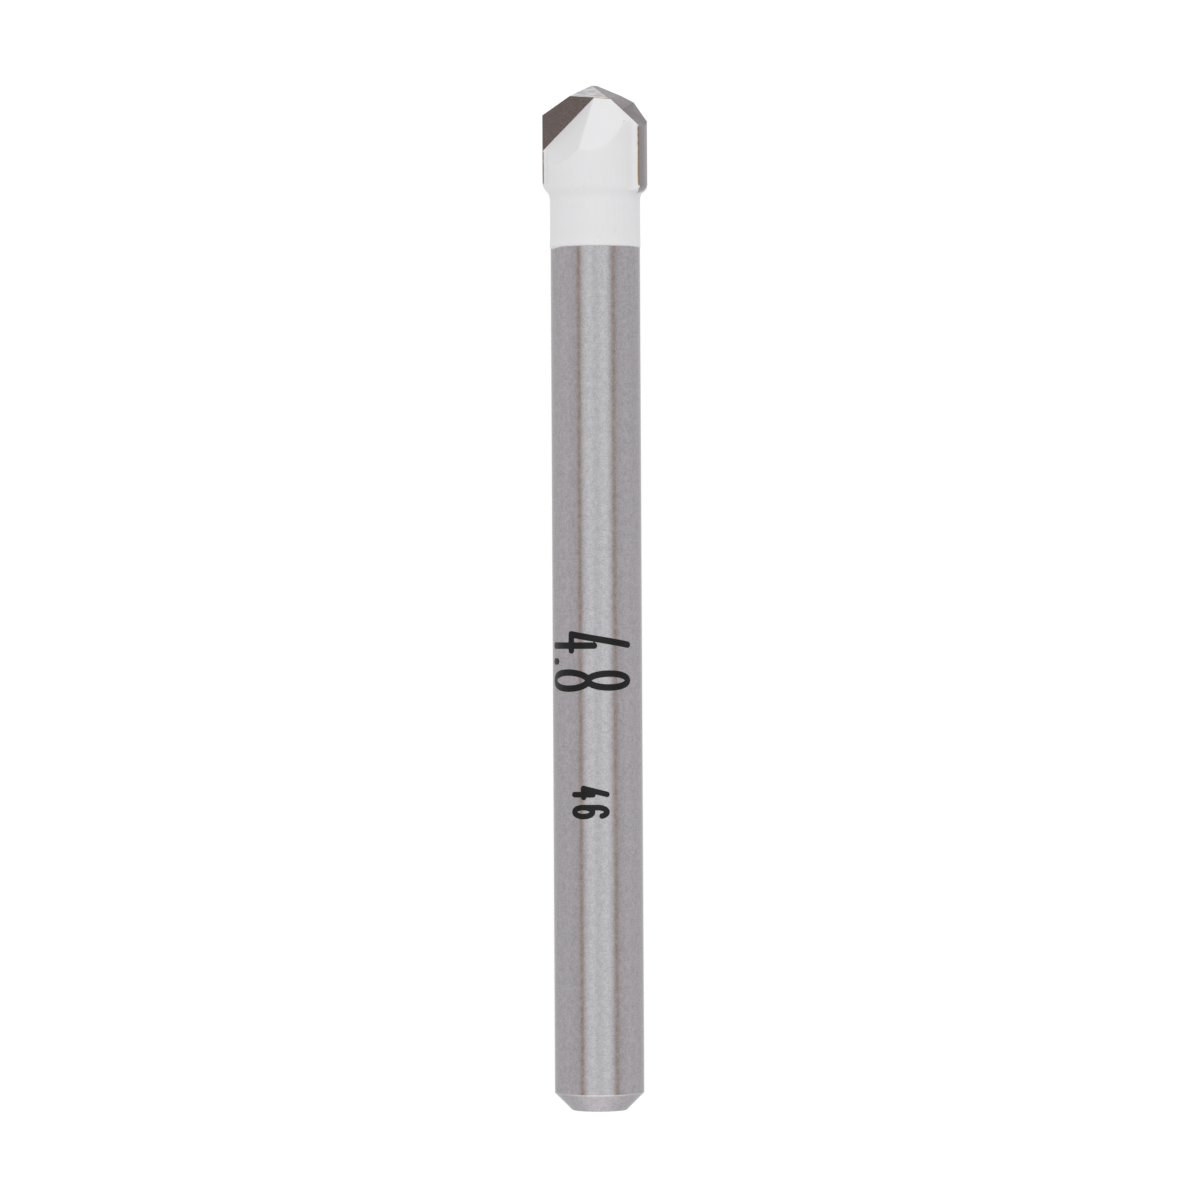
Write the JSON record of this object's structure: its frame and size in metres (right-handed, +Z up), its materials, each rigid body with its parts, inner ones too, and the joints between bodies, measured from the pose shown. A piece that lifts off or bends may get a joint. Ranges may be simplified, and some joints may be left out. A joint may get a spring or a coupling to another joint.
{
  "type": "masonry drill bit",
  "caption": "Short masonry drill bit with a plain round shank, white painted head and a brazed carbide plate ground to a chisel point.",
  "frame": {"origin": "on the surface that the bit lies on, under the middle of its length, with the bit's axis 2.1 mm above it", "axes": "+Y along the bit's axis towards the point, +X across it, +Z up; the carbide plate is turned 22.2 degrees about the axis from level, with its +X end raised"},
  "size_m": [0.0046, 0.0458, 0.0042],
  "materials": {
    "bit_body": "ground",
    "carbide_tip": "ground carbide",
    "braze_seam": "as brazed"
  },
  "bodies": {
    "root": {"bit_body": "bit_body", "carbide_tip": "carbide_tip", "braze_seam": "braze_seam"}
  },
  "joints": []
}
